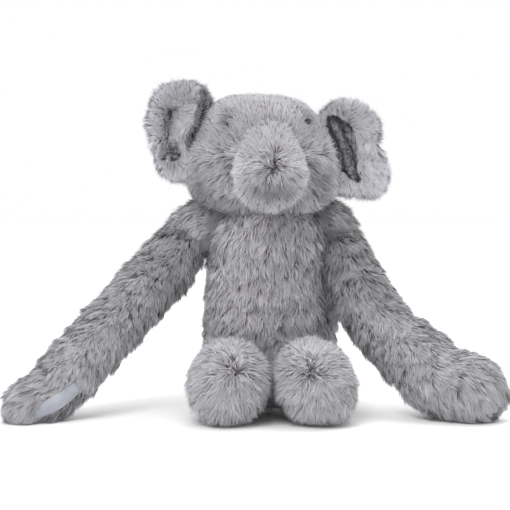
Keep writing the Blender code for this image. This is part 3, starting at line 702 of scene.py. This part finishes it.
ears = {}
for side, sign in SIDES.items():
    turn = np.linspace(0.0, math.pi, 40)
    angle = np.linspace(0.0, 2.0 * math.pi, 60, endpoint=False)
    grid = ear_point(side, (np.sin(turn) ** 0.8)[:, None], angle[None, :], np.cos(turn)[:, None])
    grid += grid_frames(grid)[0] * (waves(grid, 0.022, 6) * 0.0016)[:, :, None]
    skin = skin_object(f"{side}_ear_padded_back", grid, BACKING)
    low, high = box(f"{side}_ear_back")
    centre = (low + high) / 2.0 + np.array([EAR_MIDDLE[side][0], 0.0, EAR_MIDDLE[side][1]])
    roots = scatter(grid, FIBRES["ear"], np.random.default_rng(15 + int(sign)))
    p, n = roots["p"], roots["n"]
    x, z = p[:, 0] - centre[0], p[:, 2] - centre[2]
    (px, pz), (rx, rz) = LININGS[side]
    u = (x - px - lining_bow(side, z - pz)) / (rx * lining_width(side, z - pz))
    v = (z - pz) / rz
    in_front = smooth(-n[:, 1], -0.1, 0.4)
    patch = np.hypot(u, v)
    from_patch = np.stack([u / rx, np.zeros(len(p)), v / rz], axis=1)
    outward = unit(np.stack([x, np.zeros(len(p)), z * 0.8], axis=1))
    rim = smooth(np.hypot(x, z * 0.65), 0.006, 0.024)[:, None]
    flow = outward * rim - UP * (0.30 + 0.6 * (1.0 - rim)) + unit(from_patch) * in_front[:, None] * 0.7 * rim
    hidden = (patch < 0.98) & (in_front > 0.5)
    # The ears' pile is given a paler tone than the body's, painted light against the shade of the cupped ear,
    # and darker next to the lining, painted shade in the hollow.
    near_patch = smooth(patch, 1.8, 1.0) * in_front
    tone = 0.80 + 0.04 * waves(p, 0.018, 24) - 0.30 * near_patch
    lean = 1.0 + 0.0 * x
    if side == "right":
        line, groove = ear_groove(x, z)
        groove = groove * smooth(z, 0.028, 0.018) * in_front
        within = smooth(z, -0.034, -0.022) * smooth(z, 0.026, 0.014)
        flow[:, 0] += np.sign(x - line) * bump(x, line, 0.008) * in_front * within * 1.6
        hidden |= groove > 0.60
        # Painted shade along the ear's long fold.
        tone -= 0.35 * groove
        # Painted shade in the gap between the ear and the head.
        beside_head = smooth(x - 0.0105 - 0.22 * z, 0.0, 0.003) * smooth(z, -0.025, -0.012) * in_front
        tone -= 0.70 * beside_head
        # Painted light on one side of the fold and painted shade on the other.
        tone += in_front * (0.12 * smooth(line - x, 0.0, 0.006) - 0.20 * smooth(x - line, 0.0, 0.006))
    made = pile(f"{side}_ear_long_pile", roots, flow, PILE, length=0.0108, lean=lean, tone=tone, keep=~hidden,
                seed=35 + int(sign), lock=10, pull=0.45, frizz=0.09, calm=0.60)
    # The lining: a soft gathered cloth lying in the hollow, in long folds.
    rings = np.concatenate([np.linspace(0.0, 1.0, LINING_FRONT), np.linspace(1.0, 0.0, LINING_BACK)])
    facing = np.concatenate([np.ones(LINING_FRONT), -np.ones(LINING_BACK)])
    spin = np.linspace(0.0, 2.0 * math.pi, LINING_COLUMNS, endpoint=False)
    b = rings[:, None] * np.sin(spin)[None, :] * rz * LINING_MARGIN[1]
    a = rings[:, None] * np.cos(spin)[None, :] * rx * LINING_MARGIN[0] * lining_width(side, b)
    lx, lz = a + px + lining_bow(side, b), b + pz
    out = np.hypot(lx, lz)
    bearing = np.arctan2(lz, lx)
    sheet = ear_point(side, np.minimum(out / ear_reach(side, bearing), 0.97), bearing, np.ones_like(out))
    pleat = 0.0115 if side == "left" else 0.0055
    folds = np.cos(2.0 * math.pi * (a + 0.0022 * np.sin(b / 0.0075)) / pleat + 0.9)
    if side == "right":
        folds = np.cos(2.0 * math.pi * b / pleat + 1.1 * np.sin(a / 0.004))
    fade = 1.0 - rings[:, None] ** 3
    sheet[:, :, 1] -= 0.0024 + (folds * 0.0030 + waves(sheet, 0.007, 26) * 0.0012) * fade
    sheet[:, :, 1] += np.where(facing[:, None] < 0, 0.0013, 0.0)
    lining = skin_object(f"{side}_ear_lining_cloth", sheet, LINING)
    soft = scatter(sheet[:LINING_FRONT], FIBRES["lining"], np.random.default_rng(16))
    soft["n"] = unit(soft["n"] * np.where(soft["n"][:, 1:2] > 0, -1.0, 1.0))
    share = soft["row"]
    row, column = np.round(share * (LINING_FRONT - 1)), soft["col"] * LINING_COLUMNS
    height = folds[row.astype(int), column.astype(int) % LINING_COLUMNS]
    down = np.tile(-UP, (FIBRES["lining"], 1))
    # The nap's tone is painted light and shade: lighter on the fold ridges, darker in their troughs, and
    # darker towards the lining's edge, where it tucks under the ear's pile.
    nap = pile(f"{side}_ear_lining_nap", soft, down, LINING_PILE, length=0.0030, lean=0.8, lock=8,
               seed=38, width=0.00035, segments=2, pull=0.3,
               tone=0.48 + 0.36 * height - 0.6 * smooth(share, 0.72, 0.95))
    ears[side] = (skin, made, lining, nap)

# ---- arms ----------------------------------------------------------------------------------------
ARM_RADIUS = 0.0205
HAND_RADIUS = {"right": 0.0265, "left": 0.0290}
# How thick each arm's skin is, from shoulder to hand, as shares of the arm's radius.
ARM_SHARES = {"right": (1.00, 1.05, 1.04, 1.06, 0.92), "left": (1.00, 1.08, 1.12, 1.28, 1.30)}
PAD_ROWS, PAD_COLUMNS = 6.2, 2.5         # half the palm pad's length and width, in the arm grid's cells
arms = {}
for side, sign in SIDES.items():
    shoulder = PIVOT[f"{side}_shoulder_swing"]
    elbow = PIVOT[f"{side}_elbow_bend"]
    low, high = box(f"{side}_forearm_skin")
    palm_low, palm_high = box(f"{side}_palm_patch")
    hand_radius = HAND_RADIUS[side]
    outer_x = low[0] + hand_radius if sign < 0 else high[0] - hand_radius
    hand = np.array([outer_x, low[1] + hand_radius, low[2] + hand_radius])
    fore_way = unit(hand - elbow)
    upper_way = unit(elbow - shoulder)
    if side == "right":
        path = [shoulder + np.array([0.004, 0.002, 0.009]), shoulder + np.array([-0.007, -0.002, -0.004]),
                elbow + np.array([0.002, 0.0, -0.002]), hand + np.array([0.005, 0.0, -0.004]),
                hand + np.array([-0.027, -0.010, -0.018])]
    else:
        path = [shoulder + np.array([-0.012, 0.002, 0.009]), shoulder + np.array([-0.007, -0.004, -0.006]),
                elbow + np.array([-0.014, 0.012, 0.016]), elbow + np.array([0.001, -0.004, -0.009]),
                hand + np.array([-0.030, 0.010, 0.006]), hand + np.array([0.000, 0.0, -0.002]),
                hand + fore_way * 0.026 + np.array([0.002, 0.0, 0.004])]
    widths = [ARM_RADIUS * share for share in ARM_SHARES[side]]
    radii = [(0.0, 0.010), (0.035, ARM_RADIUS * 0.80)] + list(zip((0.10, 0.30, 0.52, 0.72, 0.86), widths))
    radii += round_end(0.88, 1.0, widths[-1])
    grid = tube_grid(path, radii, 56, 36)
    lump = waves(grid, 0.04, 5) * 0.0016
    if side == "left":
        bend = elbow + np.array([0.004, -0.016, 0.012])
        lump -= 0.0040 * bump3(grid, bend, (0.020, 0.020, 0.006))
    grid += grid_frames(grid)[0] * lump[:, :, None]
    grid[:, :, 2] = np.maximum(grid[:, :, 2], FLOOR_LIFT)
    skin = skin_object(f"{side}_arm_padded_skin", grid, BACKING)
    roots = scatter(grid, FIBRES["arm"], np.random.default_rng(17 if side == "right" else 18))
    p, n = roots["p"], roots["n"]
    fall = -UP - n * np.sum(-UP * n, axis=1, keepdims=True)
    out = sign * np.array([1.0, 0.0, 0.0])
    upper_side = smooth(np.sum(n * unit(np.array([sign, 0.0, 1.0])), axis=1), -0.1, 0.5)[:, None]
    flow = roots["t"] * (0.70 + 0.35 * upper_side) + fall * 0.65 * (1.0 - 0.5 * upper_side)
    flow += out * 0.35 * upper_side
    palm = unit((palm_low + palm_high) / 2.0 - hand)
    palm = unit(palm - fore_way * np.dot(palm, fore_way))
    off_hand = p - hand
    sideways = unit(off_hand - fore_way * (off_hand @ fore_way)[:, None])
    along = off_hand @ fore_way
    bare = smooth(sideways @ palm, 0.80, 0.93) * smooth(np.abs(along + 0.003), 0.028, 0.020)
    bare *= side == "right"
    hidden = np.linalg.norm(p - shoulder, axis=1) < BARE["arm"]
    hidden &= (p[:, 0] - shoulder[0]) * sign < -0.004
    tone = 0.44 + 0.07 * waves(p, 0.025, 26) - 0.14 * smooth(p[:, 2], 0.06, 0.13)
    # Painted shade: darker pile low down, where the arm lies on the floor.
    tone -= 0.10 * smooth(p[:, 2], 0.03, 0.0)
    if side == "left":
        # Painted shade in the dent at the bend of the left arm.
        tone -= 0.20 * bump3(p, bend, (0.022, 0.022, 0.005))
        tone -= 0.07 * smooth(p[:, 2], 0.060, 0.110)
    # Painted shade: darker pile where the arm meets the body.
    tone -= 0.12 * bump3(p, shoulder + np.array([-sign * 0.016, -0.020, 0.0]), (0.010, 0.02, 0.030))
    made = pile(f"{side}_arm_long_pile", roots, flow, PILE, seed=40 + int(sign), keep=~hidden, calm=0.15,
                length=0.0138 - 0.0105 * bare, lean=0.95 + 0.25 * bare, tone=tone + 0.12 * bare)
    arms[side] = (skin, made, elbow, upper_way, fore_way)
    if side == "right":
        # The palm pad: a low oval lying on the arm's skin, where the palm faces.
        middle = grid.mean(axis=1)
        row = np.argmin(np.linalg.norm(middle - (hand - fore_way * 0.003), axis=1))
        column = np.argmax((grid[row] - middle[row]) @ palm)
        turn = np.linspace(0.0, math.pi, 18)[:, None]
        spin = np.linspace(0.0, 2.0 * math.pi, 44, endpoint=False)[None, :]
        rows = row + np.sin(turn) * np.cos(spin) * PAD_ROWS
        columns = column + np.sin(turn) * np.sin(spin) * PAD_COLUMNS
        lift = 0.0016 + np.cos(turn) * 0.0026 * (1.0 - 0.6 * np.sin(turn) ** 4)
        pad = on_grid(grid, rows, columns) + on_grid(grid_frames(grid)[0], rows, columns) * lift[..., None]
        palm_pad = skin_object("right_palm_smooth_pad", pad, PALM)

# ---- legs ----------------------------------------------------------------------------------------
legs = {}
for side, sign in SIDES.items():
    hip = PIVOT[f"{side}_hip_flex"]
    low, high = box(f"{side}_leg_skin")
    radius = (high - low)[0] / 2.0 - SKIN_INSET
    sole = np.array([(low[0] + high[0]) / 2.0 + 0.0025, low[1] + 0.006, radius + SKIN_INSET])
    way = unit(sole - hip)
    path = [hip - way * 0.018, hip, hip * 0.5 + sole * 0.5, sole]
    radii = [(0.0, 0.008), (0.10, radius * 0.66), (0.30, radius * 0.80), (0.55, radius * 0.96)]
    radii += [(0.75, radius)] + round_end(0.78, 1.0, radius)
    grid = tube_grid(path, radii, 40, 40)
    sag = smooth(grid[:, :, 2], 0.055, 0.012) * smooth(hip[1] - grid[:, :, 1], 0.03, 0.09)
    grid[:, :, 0] += sign * 0.004 * sag
    grid += grid_frames(grid)[0] * (waves(grid, 0.035, 7 + int(sign)) * 0.0016)[:, :, None]
    grid[:, :, 2] = np.maximum(grid[:, :, 2], FLOOR_LIFT)
    skin = skin_object(f"{side}_leg_padded_skin", grid, BACKING)
    roots = scatter(grid, FIBRES["leg"], np.random.default_rng(19 if side == "right" else 20))
    p, n = roots["p"], roots["n"]
    swirl = sole + np.array([-0.003 * sign, 0.0, 0.020])
    outward, spread, end_face, heart = swirl_at(p, n, swirl, way, (0.10, 0.60), 0.011)
    ends = end_face[:, None]
    flow = outward * ends + (1.0 - ends) * (-way * 0.6 + outward * 0.3 - UP * 0.5) - UP * 0.12
    flow += ruffled(p, 0.010, 71 + int(sign)) * (0.35 + 2.0 * heart)[:, None]
    partings = smooth(waves(p, 0.0070, 29 + int(sign)), 0.20, 0.55) * bump(spread, 0.0, 0.015) * end_face
    hidden = np.linalg.norm(p - hip, axis=1) < BARE["leg"]
    # Painted shade: darker pile low on the inner side, between the feet.
    inner = smooth(-sign * (p[:, 0] - sole[0]), 0.012, 0.030) * smooth(p[:, 2], 0.05, 0.01)
    tone = 0.48 + 0.04 * waves(p, 0.018, 27) + 0.14 * heart - 0.30 * partings - 0.30 * inner
    made = pile(f"{side}_leg_long_pile", roots, flow, PILE, seed=44 + int(sign), keep=~hidden, lock=10,
                pull=0.42, length=0.0130, lean=0.88 - 0.36 * heart, droop=0.06, frizz=0.12, wave=0.6,
                calm=0.40, tone=tone)
    legs[side] = (skin, made)

# ---- tail ----------------------------------------------------------------------------------------
root = PIVOT["tail_swing"]
low, high = box("tail")
tail_radius = (high - low)[0] / 2.0
tail_end = np.array([root[0], high[1] - tail_radius, low[2] + tail_radius])
grid = tube_grid([root - unit(tail_end - root) * 0.006, root, tail_end],
                 [(0.0, 0.003), (0.15, 0.0052), (0.7, 0.0055)] + round_end(0.8, 1.0, 0.0060), 16, 14)
tail_skin = skin_object("tail_padded_skin", grid, BACKING)
roots = scatter(grid, FIBRES["tail"], np.random.default_rng(21))
tail_pile = pile("tail_long_pile", roots, roots["t"] - UP * 0.2, PILE, length=0.0110, seed=48)


# ---- eyes and hidden hardware --------------------------------------------------------------------
def finish_node(node, finish):
    """Give a carried-over CAD node its procedural material."""
    data = frame["nodes"][node].data
    data.materials.clear()
    data.materials.append(finish)


BEAD, nodes, links, shader = new_material("EyeBeadGloss")
swirls = nodes.new("ShaderNodeTexNoise")
swirls.inputs["Scale"].default_value = 300.0
tint = ramp(nodes, [(0.3, (0.006, 0.005, 0.005)), (0.7, (0.016, 0.013, 0.012))])
links.new(swirls.outputs["Fac"], tint.inputs[0])
links.new(tint.outputs["Color"], shader.inputs["Base Color"])
shader.inputs["Roughness"].default_value = 0.10
shader.inputs["Coat Weight"].default_value = 0.6

STUFFING = cloth_material("StuffingFibre", [(0.62, 0.62, 0.60), (0.80, 0.80, 0.78)], scale=500.0)
BAG = cloth_material("PelletBagCloth", [(0.45, 0.43, 0.38), (0.60, 0.58, 0.52)], scale=1200.0)
NYLON = cloth_material("WasherNylon", [(0.60, 0.60, 0.58), (0.72, 0.72, 0.70)], scale=1500.0, sheen=0.0,
                       rough=0.45)
SATIN = cloth_material("LabelSatin", [(0.62, 0.62, 0.62), (0.76, 0.76, 0.76)], scale=2200.0, rough=0.5)
for node in frame["nodes"]:
    if node.endswith("_fill"):
        finish_node(node, STUFFING)
    elif node.endswith("_ring"):
        finish_node(node, BACKING)
    elif node.endswith("_washer"):
        finish_node(node, NYLON)
    elif node.endswith("_eye"):
        finish_node(node, BEAD)
    elif node == "left_palm_patch":
        finish_node(node, PALM)
finish_node("pellet_bag", BAG)
finish_node("care_label", SATIN)


# ---- riding on the frame -------------------------------------------------------------------------
def settle(pieces, body):
    """Pieces that move with one body."""
    for piece in pieces:
        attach(piece, body)


def bend(pieces, first, second, pivot, before, after):
    """Pieces that cross a joint: each one's transform is baked into its mesh."""
    for piece in pieces:
        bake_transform(piece)


settle([torso_skin] + torso_pile, "torso")
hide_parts("torso_skin", "torso_fill")
for side in SIDES:
    settle([shoulders[side][0]] + shoulders[side][1], "torso")
    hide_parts(f"{side}_shoulder_seam_ring")
settle([palm_pad], "right_forearm")
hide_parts("right_palm_patch")
settle([head_skin] + head_pile, "head")
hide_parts("head_skin", "head_fill")
bend([trunk_skin] + trunk_pile, "trunk_base", "trunk_tip", knuckle, tip_way * KNUCKLE_BLEND,
     tip_way * KNUCKLE_BLEND)
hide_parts("trunk_base_skin", "trunk_base_fill", "trunk_tip_skin", "trunk_tip_fill")
for side in SIDES:
    skin, made, lining, nap = ears[side]
    settle([skin] + made, f"{side}_ear")
    settle([lining] + nap, f"{side}_ear")
    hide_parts(f"{side}_ear_back")
    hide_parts(f"{side}_ear_lining")
    skin, made, elbow, upper_way, fore_way = arms[side]
    bend([skin] + made, f"{side}_upper_arm", f"{side}_forearm", elbow, upper_way * ELBOW_BLEND,
         fore_way * ELBOW_BLEND)
    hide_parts(f"{side}_upper_arm_skin", f"{side}_upper_arm_fill", f"{side}_forearm_skin",
                f"{side}_forearm_fill")
    skin, made = legs[side]
    settle([skin] + made, f"{side}_leg")
    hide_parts(f"{side}_leg_skin", f"{side}_leg_fill")
settle([tail_skin] + tail_pile, "tail")
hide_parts("tail")

# ---- floor, light and camera ---------------------------------------------------------------------
bpy.ops.mesh.primitive_plane_add(size=8.0, location=(0.0, 0.0, 0.0))
floor = bpy.context.object
floor.name = "studio_floor"
FLOOR, nodes, links, shader = new_material("PaleFloor")
shader.inputs["Base Color"].default_value = (0.98, 0.98, 0.98, 1.0)
shader.inputs["Roughness"].default_value = 0.7
floor.data.materials.append(FLOOR)

world = bpy.data.worlds.new("Studio")
bpy.context.scene.world = world
world.use_nodes = True
world.node_tree.nodes["Background"].inputs["Color"].default_value = (1.0, 1.0, 1.0, 1.0)
world.node_tree.nodes["Background"].inputs["Strength"].default_value = 1.0


def area_light(name, place, target, size, power, colour=(1.0, 1.0, 1.0)):
    """A soft box aimed at a point."""
    data = bpy.data.lights.new(name, 'AREA')
    data.size = size
    data.energy = power
    data.color = colour
    light = bpy.data.objects.new(name, data)
    light.location = place
    light.rotation_euler = (Vector(target) - Vector(place)).to_track_quat('-Z', 'Y').to_euler()
    bpy.context.scene.collection.objects.link(light)


area_light("KeyBox", (-0.5, -1.2, 1.5), (0.0, 0.0, 0.12), 0.9, 16.0)
area_light("BackFill", (0.9, 1.4, 0.9), (0.0, 0.0, 0.15), 1.4, 9.0)
area_light("TopBox", (0.3, 0.2, 1.8), (0.0, 0.0, 0.1), 1.0, 9.0, (0.96, 0.98, 1.0))
bpy.context.scene.view_settings.view_transform = 'Standard'

VIEW_DISTANCE = 1.6
VIEW_ELEVATION = math.radians(4.0)
VIEW_TARGET = Vector((-0.014, 0.0, 0.147))
FRAME_WIDTH = 0.510
camera_data = bpy.data.cameras.new("Camera")
camera_data.sensor_width = 36.0
camera_data.lens = 36.0 * VIEW_DISTANCE / FRAME_WIDTH
camera_data.clip_end = 20.0
camera = bpy.data.objects.new("Camera", camera_data)
view_way = Vector((0.0, -math.cos(VIEW_ELEVATION), math.sin(VIEW_ELEVATION)))
camera.location = VIEW_TARGET + view_way * VIEW_DISTANCE
camera.rotation_euler = (VIEW_TARGET - camera.location).to_track_quat('-Z', 'Y').to_euler()
bpy.context.scene.collection.objects.link(camera)
bpy.context.scene.camera = camera
